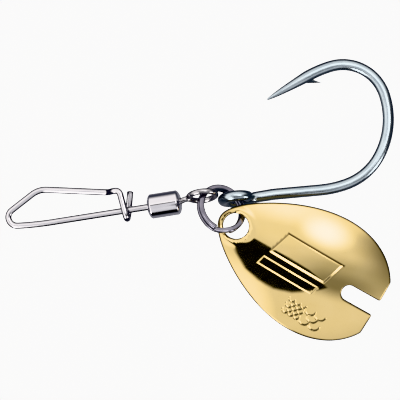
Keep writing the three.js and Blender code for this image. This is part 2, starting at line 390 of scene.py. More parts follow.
def tube(path, radius, ends, sides=40):
    """A round wire along a path. Grain holds its place across the wire and along it."""
    radii = np.broadcast_to(np.asarray(radius, float), len(path)).copy()
    tangents, across, up = frames_along(path)
    stations, sizes = eased_ends(path, radii, *ends)
    extra = (len(stations) - len(path)) // 2
    across = np.concatenate([[across[0]] * extra, across, [across[-1]] * extra])
    up = np.concatenate([[up[0]] * extra, up, [up[-1]] * extra])
    along = lengths_along(stations)
    ring = circle(sides)
    rings, grain_and_painted_shade = [], []
    for place, size, a, b, distance in zip(stations, sizes, across, up, along):
        rings.append(place + size * (ring[:, :1] * a + ring[:, 1:] * b))
        grain_and_painted_shade += [(size * c, size * s, distance) for c, s in ring]
    grain_and_painted_shade += [(0, 0, along[0]), (0, 0, along[-1])]
    vertices = np.concatenate(rings + [[stations[0]], [stations[-1]]])
    return vertices, stitched(rings), grain_and_painted_shade


def lathe(profile, sides=96):
    """A closed profile of (x, radius) turned about the X axis."""
    ring = circle(sides)
    rings = [[(x, radius * c, radius * s) for c, s in ring] for x, radius in profile]
    count = len(rings)
    faces = []
    for i in range(count):
        faces += band(i * sides, (i + 1) % count * sides, sides)
    vertices = np.concatenate(rings)
    grain_and_painted_shade = [(y, z, x) for x, y, z in vertices]
    return vertices, faces, grain_and_painted_shade


# ---------------- pieces


CRISP = 50  # edges sharper than this are not smoothed


def smooth(mesh):
    mesh.shade_smooth()
    mesh.set_sharp_from_angle(angle=math.radians(CRISP))


def in_scene(name, data):
    made = bpy.data.objects.new(name, data)
    bpy.context.scene.collection.objects.link(made)
    return made


def solid(name, shape, place, material):
    """A mesh object made of a shape, put in place, with its faces pointing out."""
    vertices, faces, grain_and_painted_shade = shape
    mesh = bpy.data.meshes.new(name)
    mesh.from_pydata([place @ Vector(v) for v in vertices], [], faces)
    # a shape's third list: the wires' grain, and on the blade its painted shade
    attribute = mesh.attributes.new("grain_and_painted_shade", "FLOAT_VECTOR", "POINT")
    attribute.data.foreach_set("vector", np.asarray(grain_and_painted_shade, np.float32).ravel())
    work = bmesh.new()
    work.from_mesh(mesh)
    bmesh.ops.recalc_face_normals(work, faces=work.faces)
    work.to_mesh(mesh)
    work.free()
    smooth(mesh)
    mesh.materials.append(material)
    piece = in_scene(name, mesh)
    return piece


def joined(keep, other):
    """One clean solid from two pieces that run into each other."""
    union = keep.modifiers.new("union", "BOOLEAN")
    union.operation = "UNION"
    union.solver = "EXACT"
    union.object = other
    bpy.context.view_layer.update()
    made = bpy.data.meshes.new_from_object(keep.evaluated_get(bpy.context.evaluated_depsgraph_get()))
    keep.modifiers.clear()
    old = keep.data
    keep.data = made
    bpy.data.meshes.remove(old)
    bpy.data.objects.remove(other)
    return keep


# ---------------- blade

FAR = 1e9  # beyond every point


def half_width(t):
    """Half the blade's width at a distance from its nose."""
    closes = BLADE["closes"] * BLADE["length"]
    level, linear, square = BLADE["fullness"]
    return np.sqrt(np.maximum(0, t * (closes - t) * (level + linear * t + square * t * t)))


def blade_outline(step=0.15):
    """The cut edge, flat, round the nose, the two sides and the slotted tail."""
    tail = BLADE["length"] - BLADE["nose"]
    slot_half = BLADE["slot_width"] / 2
    slot_end = tail - BLADE["slot_depth"]
    stations = 110
    curved = BLADE["length"] - BLADE["tail_corner"] / 2
    t = curved * (0.5 - 0.5 * np.cos(np.pi * np.arange(stations) / (stations - 1)))
    side = [(x - BLADE["nose"], y, 0.0) for x, y in zip(t, half_width(t))]
    corners = [
        (tail, float(half_width(BLADE["length"])), BLADE["tail_corner"]),
        (tail, slot_half, BLADE["slot_corner"]),
        (slot_end, slot_half, slot_half),
    ]
    corners += [(x, -y, radius) for x, y, radius in reversed(corners)]
    points = side + [(x, y, 0.0) for x, y, _ in corners] + [(x, -y, z) for x, y, z in reversed(side[1:])]
    radii = [0] * (len(side) - 1) + [radius for _, _, radius in corners] + [0] * (len(side) - 2)
    path = rounded_path(points, radii, 0.06)
    path = np.concatenate([path, path[:1]])
    return resampled(path, step)[:-1, :2]


def distance_to(points, loop):
    """How far each point is from a closed loop."""
    best = np.full(len(points), FAR)
    for start, step in zip(loop, np.roll(loop, -1, axis=0) - loop):
        share = np.clip(((points - start) @ step) / (step @ step), 0, 1)
        best = np.minimum(best, np.linalg.norm(points - start - share[:, None] * step, axis=1))
    return best


def rows_beside(loop, distances, inward):
    """Rows of points beside a closed loop, at each distance from it."""
    tangent = np.roll(loop, -1, axis=0) - np.roll(loop, 1, axis=0)
    tangent /= np.linalg.norm(tangent, axis=1)[:, None]
    normal = np.stack([-tangent[:, 1], tangent[:, 0]], axis=1) * inward
    return [loop + normal * distance for distance in distances]


def on_blade(points):
    """Whether each point is inside the outline and outside the hole and the slot."""
    x, y = points[:, 0], points[:, 1]
    t = x + BLADE["nose"]
    tail = BLADE["length"] - BLADE["nose"]
    slot_half = BLADE["slot_width"] / 2
    slot_middle = tail - BLADE["slot_depth"] + slot_half
    inside = (t > 0) & (x < tail) & (np.abs(y) < half_width(t))
    slot = (np.abs(y) < slot_half) & (x > slot_middle) | (np.hypot(x - slot_middle, y) < slot_half)
    return inside & ~slot & (np.hypot(x, y) > BLADE["hole"])


def dome(x, y):
    """Height of the dome's middle surface, with the coined flat round the hole."""
    lengthwise = BLADE["lengthwise"] * (BLADE["crown"] ** 2 - (x - BLADE["crown"]) ** 2)
    curved = lengthwise - BLADE["crosswise"] * y * y
    flat = BLADE["annulus_slope"] * x - BLADE["annulus_drop"]
    return flat + (curved - flat) * smoothstep(*BLADE["annulus"], np.hypot(x, y))


def panel_edges(panel):
    """A panel's lower, right, upper and left edges, each as start, end, direction and inward normal."""
    x, y = panel["x"], panel["y"]
    length, width, slant = panel["length"], panel["width"], panel["slant"]
    corners = np.array([(x, y), (x + length, y), (x + length + slant, y + width), (x + slant, y + width)])
    edges = []
    for start, end in zip(corners, np.roll(corners, -1, axis=0)):
        along = unit(end - start)
        edges.append((start, end, along, np.array([-along[1], along[0]])))
    return edges


def panel_relief(points):
    """Height of the raised panels, whose sides slope up over their own widths."""
    relief = np.zeros(len(points))
    for panel in PANELS:
        rise = np.ones(len(points))
        for (start, _, _, inward), slope in zip(panel_edges(panel), panel["slopes"]):
            rise = np.minimum(rise, eased_ramp((points - start) @ inward / slope))
        relief = np.maximum(relief, panel["height"] * rise)
    return relief


def painted_fold_and_edge_shade(points, loops):
    """Painted shade on the plating: 1 in the sharp folds, along the stamped lines and on the cut edges, 0 on
    the open face.
    """
    dark = np.zeros(len(points))
    for panel in PANELS:
        for (start, end, along, inward), strength in zip(panel_edges(panel), panel["folds"]):
            past = np.maximum(-((points - start) @ along), (points - end) @ along)
            away = np.maximum(np.abs((points - start) @ inward), past)
            dark = np.maximum(dark, strength * (1 - smoothstep(*BLADE["fold_painted_shade_reach"], away)))
    # painted shade along the stamped lines
    dark = np.maximum(dark, STAMP["darkness"] * np.abs(scale_relief(points)) / STAMP["depth"])
    # painted shade on the outer edge and round the hole
    for loop, strength in zip(loops, BLADE["rim_painted_shade"]):
        away = distance_to(points, loop)
        dark = np.maximum(dark, strength * (1 - smoothstep(*BLADE["rim_painted_shade_reach"], away)))
    return dark


PANEL_ROWS = (-0.12, 0, 0.1, 0.2, 0.4, 0.6, 0.8, 0.9, 1.0, 1.12)  # shares of the way up a panel's side
PANEL_CLEAR = 0.3  # the grid stays this much off a panel's side, as a share of its width
RIM_ROWS = (0.04, 0.13, 0.28, 0.48, 0.72, 1.0, 1.5)  # shares of a rim's rounding, from the edge


def panel_rows(step=0.1):
    """Rows of points that follow the panels' sloping sides, from just outside to the top."""
    rows = []
    for panel in PANELS:
        edges = panel_edges(panel)
        for share in PANEL_ROWS:
            corners = []
            for i in range(4):
                (a, _, along_a, inward_a), (b, _, _, inward_b) = edges[i - 1], edges[i]
                a = a + inward_a * share * panel["slopes"][i - 1]
                b = b + inward_b * share * panel["slopes"][i]
                reach = ((b - a) @ inward_b) / (along_a @ inward_b)
                corners.append(a + along_a * reach)
            for a, b in zip(corners, corners[1:] + corners[:1]):
                count = round(float(np.linalg.norm(b - a)) / step)
                rows.append(a + (b - a) * np.linspace(0, 1, count, endpoint=False)[:, None])
    return np.concatenate(rows)


def eased_ramp(share, ease=0.2):
    """A straight climb from 0 to 1 with its two ends eased."""
    share = np.clip(share, 0, 1)
    flipped = np.minimum(share, 1 - share)
    climb = np.where(flipped < ease, flipped**2 / (2 * ease), flipped - ease / 2) / (1 - ease)
    return np.where(share < 0.5, climb, 1 - climb)


def scale_relief(points):
    """The stamped lines: half circles that open towards the blade's middle, row over row."""
    near = np.full(len(points), FAR)
    for block in SCALES:
        radius = block["radius"]
        for row in range(block["rows"]):
            for column in range(block["columns"] - row % 2):
                dx = points[:, 0] - block["x"] - radius * (2 * column + row % 2)
                dy = points[:, 1] - block["y"] + radius * row
                ring = np.abs(np.hypot(dx, dy) - radius)
                tips = np.hypot(np.abs(dx) - radius, dy)
                near = np.minimum(near, np.where(dy <= 0, ring, tips))
    return -STAMP["depth"] * (1 - smoothstep(0, STAMP["line"] / 2, near))


def grid(low, high, step):
    xs = np.arange(low[0], high[0], step)
    ys = np.arange(low[1], high[1], step)
    return np.array([(x, y) for x in xs for y in ys])


def filling(loops, step):
    """A grid over the blade that stays clear of its rims and of its panels' sides."""
    points = grid(loops[0].min(axis=0), loops[0].max(axis=0), step)
    clear = on_blade(points) & ~on_panel_side(points)
    for loop, rim in zip(loops, BLADE["rims"]):
        clear &= distance_to(points, loop) > rim * RIM_ROWS[-1] + step * 0.4
    return points[clear]


def face_points(loops, step, stamp_step=None):
    """Points of one face of the blade: rows along its edges and its panels, a grid, and where the
    face is stamped a finer grid on the stamped scales."""
    rows = [panel_rows()]
    for loop, rim, inward in zip(loops, BLADE["rims"], (-1, 1)):
        rows += rows_beside(loop, rim * np.array(RIM_ROWS), inward)
    rows = np.concatenate(rows)
    filled = [filling(loops, step)]
    if stamp_step:
        fine = filling(loops, stamp_step)
        filled = [filled[0][~is_stamped(filled[0])], fine[is_stamped(fine)]]
    return np.concatenate([rows[on_blade(rows)], *filled])


def on_panel_side(points):
    """Whether each point is on a panel's sloping side, or so near that the rows there cover it."""
    found = np.zeros(len(points), bool)
    for panel in PANELS:
        shares = []
        for (start, _, _, inward), slope in zip(panel_edges(panel), panel["slopes"]):
            shares.append((points - start) @ inward / slope)
        least = np.min(shares, axis=0)
        found |= (least > -PANEL_CLEAR) & (least < 1 + PANEL_CLEAR)
    return found


def is_stamped(points, reach=0.07):
    """Whether each point is on or beside a stamped line."""
    shifts = [(reach, 0), (-reach, 0), (0, reach), (0, -reach)]
    depths = [np.abs(scale_relief(points + shift)) for shift in shifts]
    return np.max(depths, axis=0) > 1e-6


def triangulated(loops, inner):
    """One face of the blade, flat: its vertices, those of the loops first, and its triangles."""
    points = np.concatenate([*loops, inner])
    edges, first = [], 0
    for loop in loops:
        count = len(loop)
        edges += [(first + i, first + (i + 1) % count) for i in range(count)]
        first += count
    made = delaunay_2d_cdt([Vector(p) for p in points], edges, [], 0, 1e-6, False)
    flat = np.array([tuple(v) for v in made[0]])
    triangles = np.array([f for f in made[2] if len(f) == 3])
    triangles = triangles[on_blade(flat[triangles].mean(axis=1))]
    return flat, triangles


def face_heights(flat, loops, side):
    """Heights of a face's points. Towards its edges it rounds over to the blade's middle surface."""
    over = np.min([distance_to(flat, loop) / rim for loop, rim in zip(loops, BLADE["rims"])], axis=0)
    over[: sum(len(loop) for loop in loops)] = 0
    over = np.clip(over, 0, 1)
    half = BLADE["thickness"] / 2
    return dome(flat[:, 0], flat[:, 1]) + side * half * np.sqrt(1 - (1 - over) ** 2) + panel_relief(flat)


def spoon_blade():
    """The blade's front, with the stamped scales, and its back, sewn together along the edges."""
    loops = [blade_outline(), circle(96) * BLADE["hole"]]
    front, triangles = triangulated(loops, face_points(loops, 0.22, 0.06))
    height = face_heights(front, loops, 1) + scale_relief(front)
    front = np.column_stack([front, height])
    back, back_triangles = triangulated(loops, face_points(loops, 0.3))
    back = np.column_stack([back, face_heights(back, loops, -1)])
    shared = sum(len(loop) for loop in loops)
    shift = len(front) - shared
    renumbered = np.where(back_triangles < shared, back_triangles, back_triangles + shift)
    vertices = np.concatenate([front, back[shared:]])
    faces = triangles.tolist() + renumbered[:, ::-1].tolist()
    # painted shade in the folds, along the stamped lines and on the edges, kept on each point for the
    # material
    dark = painted_fold_and_edge_shade(vertices[:, :2], loops)
    return vertices, faces, [(darkness, 0, 0) for darkness in dark]


# ---------------- split ring


def ring_section():
    """The wire's cross section: a rectangle with rounded corners, radial by axial."""
    x, y = RING["band"] / 2, RING["turn"] / 2
    closed = [(x, 0, 0), (x, y, 0), (-x, y, 0), (-x, -y, 0), (x, -y, 0), (x, 0, 0)]
    return rounded_path(closed, [RING["corner"]] * 4, 0.04)[:-1, :2]


def split_ring():
    """One flat wire wound in two turns that lie on each other, climbing between them."""
    section = ring_section()
    radius = RING["outer"] - RING["band"] / 2
    start = RING["upper_end"] + RING["crossing"]
    end = start + 720 - RING["crossing"]
    climb_from = start + 360 - RING["crossing"] - RING["crossing_ease"]
    climb_to = start + 360 + RING["crossing_ease"]
    angles = np.arange(start, end + 0.1, RING["step"])
    rings, grain_and_painted_shade = [], []
    for angle in angles:
        height = RING["turn"] * (smoothstep(climb_from, climb_to, angle) - 0.5)
        size = RING["end_size"] if angle in (angles[0], angles[-1]) else 1.0
        place = radius + section[:, 0] * size
        out = np.array([math.cos(math.radians(angle)), math.sin(math.radians(angle))])
        rings.append(np.column_stack([place[:, None] * out, height + section[:, 1] * size]))
        along = math.radians(angle) * radius
        grain_and_painted_shade += [(x, y, along) for x, y in section]
    middles = [rings[0].mean(axis=0), rings[-1].mean(axis=0)]
    grain_and_painted_shade += [(0, 0, 0), (0, 0, along)]
    return np.concatenate(rings + [middles]), stitched(rings), grain_and_painted_shade


# ---------------- hook

# Where the shank's axis meets the tangent that leaves the eye at the neck.
hook_neck = HOOK["eye"] / math.cos(math.radians(HOOK["neck"]))


def hook_eye():
    """The eye, from its cut end round to where it runs into the shank."""
    radius, corner_x = HOOK["eye"], hook_neck
    angles = np.radians(np.linspace(HOOK["eye_end"], 360 - HOOK["neck"], 60))
    eye = [(radius * math.cos(a), 0.0, radius * math.sin(a)) for a in angles]
    ahead = (corner_x + HOOK["neck_bend"], 0, 0)
    neck = rounded_path([eye[-1], (corner_x, 0, 0), ahead], [HOOK["neck_bend"]], 0.1)
    return rotate(np.concatenate([eye[:-1], neck[:-1]]), "X", -HOOK["eye_twist"])


def hook_path():
    """The wire's centre line, from the eye's cut end to where the point's grinding starts."""
    points = [np.array([hook_neck + HOOK["shank_length"], HOOK["shank_offset"], 0])]
    heading = 0.0
    for length, turn in HOOK["bends"]:
        steps = max(6, round(turn / 2))
        for _ in range(steps):
            middle_heading = heading + math.radians(turn) / steps / 2
            ahead = np.array([math.cos(middle_heading), math.sin(middle_heading), 0])
            points.append(points[-1] + ahead * length / steps)
            heading += math.radians(turn) / steps
    shank_start = np.array([hook_neck + HOOK["shank_start"], HOOK["shank_offset"], 0])
    path = np.concatenate([hook_eye(), [shank_start], points])
    return smoothed(resampled(path, 0.12), 12), heading


def hook_wire():
    """The wire from the eye to the point's tip, and where the point starts and how it heads."""
    path, heading = hook_path()
    ahead = np.array([math.cos(heading), math.sin(heading), 0])
    share = np.linspace(0, 1, 40)[1:-1] ** 0.8  # closer together towards the tip
    point = path[-1] + ahead * (HOOK["point_length"] * share)[:, None]
    swell = smoothstep(*HOOK["thickens"], lengths_along(path))
    wire = HOOK["eye_wire"] + (HOOK["wire"] - HOOK["eye_wire"]) * swell
    taper = HOOK["wire"] * (1 - share) ** HOOK["point_fullness"]
    ends = (HOOK["eye_rounding"], FLAT_END)
    shape = tube(np.concatenate([path, point]), np.concatenate([wire, taper]), ends, sides=48)
    return shape, path[-1], heading


def barb_shape(foot, heading):
    """A sliver cut up from the wire, in the hook's plane, on the inner side. It is sharp all round and
    thickest between its two crests, which lie along its spine, one below and one above."""
    root, cut, tip = (HOOK["point_length"] - BARB[key] for key in ("root", "cut", "tip"))
    sunk, rise = BARB["sunk"], BARB["rise"]
    back, under = BARB["back"], BARB["under"]
    outline = np.array([
        (root, sunk), (root + back[0], BARB["root_rise"]), (tip + back[1], rise - back[2]),
        (tip, rise), (cut - under, BARB["cut_rise"]), (cut, sunk),
    ])
    base = (outline[0] + outline[-1]) / 2
    spine = unit(np.array([tip, rise]) - base)
    on_spine = base + ((outline - base) @ spine)[:, None] * spine
    crest = on_spine + (outline - on_spine) * BARB["crest"]
    climb = np.maximum(0, outline[:, 1] - BARB["root_rise"]) / (rise - BARB["root_rise"])
    height = BARB["width"] / 2 * (1 - BARB["thinning"] * climb)
    vertices = np.concatenate([
        np.column_stack([crest, -height]),
        np.column_stack([outline, np.zeros(len(outline))]),
        np.column_stack([crest, height]),
    ])
    count = len(outline)
    faces = [tuple(range(count)), tuple(range(3 * count - 1, 2 * count - 1, -1))]
    faces += band(0, count, count) + band(count, 2 * count, count)
    vertices = rotate(vertices, "Z", math.degrees(heading)) + foot
    return vertices, faces, [(0, 0, 0)] * len(vertices)


# ---------------- swivel

# Where the heads' inner faces lie, from the barrel's middle.
head_inner = SWIVEL["barrel_length"] / 2 - SWIVEL["lip"] - SWIVEL["head_gap"] - SWIVEL["head_length"]
HEAD_OVERRUN = 0.06  # from the head's back to the first station of the plain wire
# How the head rounds over: distances in from its face or from its back, and shares of its radius.
HEAD_FACE = [(0, 0.7), (0.02, 0.85), (0.08, 0.96), (0.16, 1)]
HEAD_BACK = [(0.14, 1), (0.05, 0.93), (0, 0.8)]


def swivel_barrel():
    """A tube whose ends are rolled in to small bores."""
    half, rise = SWIVEL["barrel_length"] / 2, SWIVEL["dome"]
    radius, bore, lip = SWIVEL["barrel"], SWIVEL["bore"], SWIVEL["lip"]
    inside = radius - SWIVEL["wall"]
    corners = [(0, radius, 0)]
    corners += [(half + along * rise, across * radius, 0) for along, across in SWIVEL["rolled"]]
    corners += [(half + rise, bore, 0), (half + rise - SWIVEL["lip_depth"], bore, 0)]
    corners += [(half - lip, bore + SWIVEL["lip_flare"], 0), (half - lip, inside, 0), (0, inside, 0)]
    profile = resampled(rounded_path(corners, SWIVEL["roundings"], 0.04), 0.07)[:, :2]
    left = profile[::-1] * (-1, 1)
    return lathe(np.concatenate([profile, left[1:-1]]))


def wire_head(start, inward):
    """The upset head that holds a wire inside the barrel: from its face to the wire behind it."""
    length = SWIVEL["head_length"]
    stations = HEAD_FACE + [(length - place, share) for place, share in HEAD_BACK]
    places = [place for place, _ in stations] + [length + HEAD_OVERRUN]
    radii = [SWIVEL["head"] * share for _, share in stations] + [SWIVEL["stem"]]
    return start + inward * np.array(places), np.array(radii)


def hermite(start, start_run, end, end_run, count):
    """Points of a smooth curve that leaves start and reaches end in the given directions."""
    points = []
    for s in np.linspace(0, 1, count)[:-1]:
        points.append((2 * s**3 - 3 * s**2 + 1) * start + (s**3 - 2 * s**2 + s) * start_run
                      + (-2 * s**3 + 3 * s**2) * end + (s**3 - s**2) * end_run)
    return points


def swivel_eye():
    """The wire from its head inside the barrel, out and once round the eye, to its cut end."""
    radius, eye_x = SWIVEL["eye"], SWIVEL["eye_x"]
    head_places, head_radii = wire_head(head_inner, 1)
    stem_end = eye_x - radius - SWIVEL["eye_lead"]
    enter, leave = np.radians(SWIVEL["eye_turn"])
    loop = [(eye_x + radius * math.cos(a), radius * math.sin(a)) for a in np.linspace(enter, leave, 120)]
    stem_pull, eye_pull = SWIVEL["eye_curve"]
    into_loop = np.array([-math.sin(enter), math.cos(enter)]) * eye_pull
    lead = hermite(np.array([stem_end, 0]), np.array([stem_pull, 0]), np.array(loop[0]), into_loop, 16)
    stem = np.arange(head_places[-1] + 0.15, stem_end, 0.15)
    straight = [(x, 0.0) for x in (*head_places, *stem)]
    plane = np.array(straight + lead + loop)
    tilt = math.radians(90 - SWIVEL["eye_twist"])
    settles = smoothstep(*SWIVEL["eye_settles"], plane[:, 0] - stem_end)
    path = np.column_stack([
        plane[:, 0],
        SWIVEL["eye_offset"] * settles + plane[:, 1] * math.cos(tilt),
        plane[:, 1] * math.sin(tilt),
    ])
    radii = np.full(len(path), SWIVEL["eye_wire"])
    radii[: len(head_radii)] = head_radii
    return tube(path, radii, ends=(FLAT_END, SWIVEL["eye_rounding"]))


# ---------------- snap


def snap_path():
    """The wire's centre line, from behind its head in the barrel to its hooked end."""
    start = (-head_inner - SWIVEL["head_length"] - HEAD_OVERRUN, 0, 0)
    corners = [corner[:3] for corner in SNAP["corners"]]
    radii = [corner[3] for corner in SNAP["corners"]]
    path = rounded_path([start, *corners, SNAP["tip"]], radii, 0.05)
    return smoothed(resampled(path, SNAP["step"]), 6)


def snap_shapes():
    """The snap's wire in three lengths, the leg, the round end and the arm, and the two
    places where they meet."""
    path = snap_path()
    far = int(np.argmin(path[:, 0]))
    reach = round(SNAP["bend_reach"] / SNAP["step"])
    head_places, head_radii = wire_head(-head_inner, -1)
    head = np.column_stack([head_places, np.zeros((len(head_places), 2))])
    leg = np.concatenate([head, path[1 : far - reach + 1]])
    leg_radii = np.full(len(leg), SNAP["wire"])
    leg_radii[: len(head_radii)] = head_radii
    return (
        tube(leg, leg_radii, ends=(FLAT_END, BUTT_END)),
        tube(path[far - reach : far + reach + 1], SNAP["wire"], ends=(BUTT_END, BUTT_END)),
        tube(path[far + reach :], SNAP["wire"], ends=(BUTT_END, SNAP["tip_rounding"])),
        path[far - reach],
        path[far + reach],
    )


# ---------------- materials


def set_inputs(node, **inputs):
    """Values for a node's inputs, by their names, with underscores for spaces."""
    for name, value in inputs.items():
        node.inputs[name.replace("_", " ")].default_value = value


def add(tree, kind, *sources, **inputs):
    """A new node. Its first inputs are fed by the sources, and others have these values."""
    node = tree.nodes.new("ShaderNode" + kind)
    for socket, source in zip(node.inputs, sources):
        tree.links.new(source, socket)
    set_inputs(node, **inputs)
    return node


def shader(name):
    material = bpy.data.materials.new(name)
    material.use_nodes = True
    tree = material.node_tree
    return material, tree, tree.nodes["Principled BSDF"]


def stored(tree, name):
    """What the mesh stores under this name on its points."""
    attribute = add(tree, "Attribute")
    attribute.attribute_name = name
    return attribute


def noise(tree, source, scale, detail, stretch=(1, 1, 1)):
    stretched = add(tree, "Mapping", source, Scale=stretch)
    return add(tree, "TexNoise", stretched.outputs["Vector"], Scale=scale, Detail=detail).outputs["Fac"]


def ramp(tree, source, stops):
    made = add(tree, "ValToRGB", source)
    for element, (place, colour) in zip(made.color_ramp.elements, stops):
        element.position = place
        element.color = (*colour, 1)
    return made.outputs["Color"]


def mapped(tree, source, low, high):
    """Low to high over the middle range of a noise."""
    made = add(tree, "MapRange", source, From_Min=0.3, From_Max=0.7, To_Min=low, To_Max=high)
    return made.outputs["Result"]


def eased(tree, source, zero_at, one_at):
    """0 to 1, smoothly, as the source goes from one value to the other."""
    made = add(tree, "MapRange", source, From_Min=zero_at, From_Max=one_at)
    made.interpolation_type = "SMOOTHSTEP"
    return made.outputs["Result"]


def bumped(tree, source, bsdf, distance):
    bump = add(tree, "Bump", Distance=distance, Strength=1.0)
    tree.links.new(source, bump.inputs["Height"])
    tree.links.new(bump.outputs["Normal"], bsdf.inputs["Normal"])


def mixed(tree, factor, below, above):
    """The second colour or socket laid over the first one."""
    mix = add(tree, "Mix")
    mix.data_type = "RGBA"
    tree.links.new(factor, mix.inputs["Factor"])
    for socket, value in zip([s for s in mix.inputs if s.type == "RGBA"], (below, above)):
        if isinstance(value, tuple):
            socket.default_value = (*value, 1)
        else:
            tree.links.new(value, socket)
    return [s for s in mix.outputs if s.type == "RGBA"][0]


def side_facing(tree, starts, full):
    """0 where the normal's Z, up or down, is more than starts, and 1 where it is less than full."""
    normal = add(tree, "TexCoord").outputs["Normal"]
    upright = add(tree, "Math", add(tree, "SeparateXYZ", normal).outputs["Z"])
    upright.operation = "ABSOLUTE"
    return eased(tree, upright.outputs["Value"], starts, full)


def metal(name, dark, light, roughness, grain_scale, bump, painted_side_shade=None, steepness=(0.82, 0.5)):
    """A plated metal: cloudy colour, uneven gloss, and fine lines in its surface. Its flanks, which
    face sideways as the lure lies, may get painted shade, a darker colour: see side_facing for steepness."""
    material, tree, bsdf = shader(name)
    place = add(tree, "TexCoord").outputs["Object"]
    tint = ramp(tree, noise(tree, place, 420, 4), [(0.35, dark), (0.65, light)])
    # painted shade: the flanks, which face sideways at rest, get a darker colour
    if painted_side_shade:
        tint = mixed(tree, side_facing(tree, *steepness), tint, painted_side_shade)
    tree.links.new(tint, bsdf.inputs["Base Color"])
    gloss = noise(tree, place, 1500, 3)
    tree.links.new(mapped(tree, gloss, *roughness), bsdf.inputs["Roughness"])
    lines = noise(tree, stored(tree, "grain_and_painted_shade").outputs["Vector"], grain_scale, 4, (1, 1, 0.06))
    bumped(tree, lines, bsdf, bump)
    set_inputs(bsdf, Metallic=1.0)
    return material


def gold_plate():
    """The blade's plating, with painted shade laid over its colour in its folds, along its stamped lines and
    on its edges, as much as the mesh stores for each point.
    """
    material, tree, bsdf = shader("gold_plate")
    place = add(tree, "TexCoord").outputs["Object"]
    tint = ramp(tree, noise(tree, place, 260, 4), [(0.3, (0.93, 0.71, 0.31)), (0.7, (0.98, 0.76, 0.36))])
    painted_shade_channels = add(tree, "SeparateXYZ", stored(tree, "grain_and_painted_shade").outputs["Vector"])
    # painted shade: a near-black brown laid over the plating where the mesh stores it
    tint = mixed(tree, painted_shade_channels.outputs["X"], tint, (0.05, 0.032, 0.012))
    tree.links.new(tint, bsdf.inputs["Base Color"])
    gloss = noise(tree, place, 900, 4)
    tree.links.new(mapped(tree, gloss, 0.03, 0.06), bsdf.inputs["Roughness"])
    bumped(tree, noise(tree, place, 500, 3), bsdf, 0.000002)
    set_inputs(bsdf, Metallic=1.0)
    return material


# ---------------- studio

# Patches of light and dark, each laid over those before it: centre, half sizes, turn, the share of
# the size within which it is full, fade, light. Those of the sky go by the X and Y of a direction.
SKY_BASE = (0.86, 0.85, 0.87)
SKY = [
    ((0.0, 1.2), (2.5, 1.15), 0, 0.88, 1, (1.27, 1.23, 1.20)),
    ((-1.0, 0.0), (0.7, 1.2), 0, 0.5, 1, (1.6, 1.55, 1.5)),
    ((0.05, 0.06), (0.35, 0.16), 0, 0.3, 1, (1.05, 1.03, 1.02)),
    ((0.50, -0.25), (0.60, 0.20), 0, 0.2, 1, (0.5, 0.5, 0.5)),
    ((0.40, -0.375), (0.46, 0.18), 0, 0.15, 1, (0.26, 0.26, 0.26)),
    ((1.02, 0.02), (0.48, 0.60), 0, 0.4, 1, (0.08, 0.08, 0.08)),
    ((0.86, -0.75), (0.34, 0.30), 0, 0.3, 1, (0.20, 0.20, 0.20)),
    ((0.10, 0.32), (0.55, 0.22), 0, 0.1, 1.5, (4.0, 3.9, 3.8)),
    ((0.40, 0.13), (0.25, 0.21), -12, 0.1, 1.7, (10.0, 9.8, 9.6)),
    ((-0.40, -0.62), (0.28, 0.42), 12, 0.4, 1, (2.4, 2.3, 2.2)),
]
# Lights near the horizon, by X, Y and Z; the panels' lower and right slopes reflect the first two.
LOW_LIGHTS = [
    ((-0.33, -0.85, 0.4), (0.28, 0.18, 0.28), 0, 0.4, 1, (9.0, 8.8, 8.6)),
    ((0.82, -0.52, 0.3), (0.20, 0.25, 0.30), 0, 0.4, 1, (7.0, 6.8, 6.6)),
    ((-0.95, 0.0, -0.15), (0.40, 0.60, 0.40), 0, 0.3, 1, (0.5, 0.5, 0.52)),
]
# Cones: azimuth and zenith angle of the middle, then the angles from it where it is full and gone.
TENT = (110, 9, 58, 92)
BLACK_CARD = (-90, 80, 12, 24)
FLOOR_GLOW = (-90, 165, 45, 74)
# What the cones show, what lies outside them, and the backdrop for the camera.
CARD_BLACK = (0.004, 0.004, 0.004)
GLOW = (0.3, 0.3, 0.33)
DARK_ROOM = (0.09, 0.095, 0.12)
BACKDROP = (1.9, 1.9, 1.9)

EVERY_HEIGHT = 1e6  # half size along Z of a patch that goes by X and Y only


def patch(tree, direction, centre, size, turn, hardness, fade):
    """A soft-edged ellipse of directions, 1 inside and 0 outside. Its centre and its size have two
    numbers, and then it holds at every height, or three."""
    mapping = add(
        tree, "Mapping", direction, Location=(*centre, 0)[:3], Scale=(*size, EVERY_HEIGHT)[:3],
        Rotation=(0, 0, math.radians(turn)),
    )
    mapping.vector_type = "TEXTURE"
    length = add(tree, "VectorMath", mapping.outputs["Vector"])
    length.operation = "LENGTH"
    power = add(tree, "Math", eased(tree, length.outputs["Value"], 1.0, hardness))
    power.operation = "POWER"
    power.inputs[1].default_value = fade
    return power.outputs["Value"]


def with_patches(tree, direction, light, patches):
    for *form, colour in patches:
        light = mixed(tree, patch(tree, direction, *form), light, colour)
    return light


def cone(tree, direction, azimuth, zenith, full, gone):
    """1 within the angle full of a direction, 0 beyond the angle gone."""
    a, z = math.radians(azimuth), math.radians(zenith)
    dot = add(tree, "VectorMath", direction)
    dot.operation = "DOT_PRODUCT"
    dot.inputs[1].default_value = (math.sin(z) * math.cos(a), math.sin(z) * math.sin(a), math.cos(z))
    limits = math.cos(math.radians(gone)), math.cos(math.radians(full))
    return eased(tree, dot.outputs["Value"], *limits)


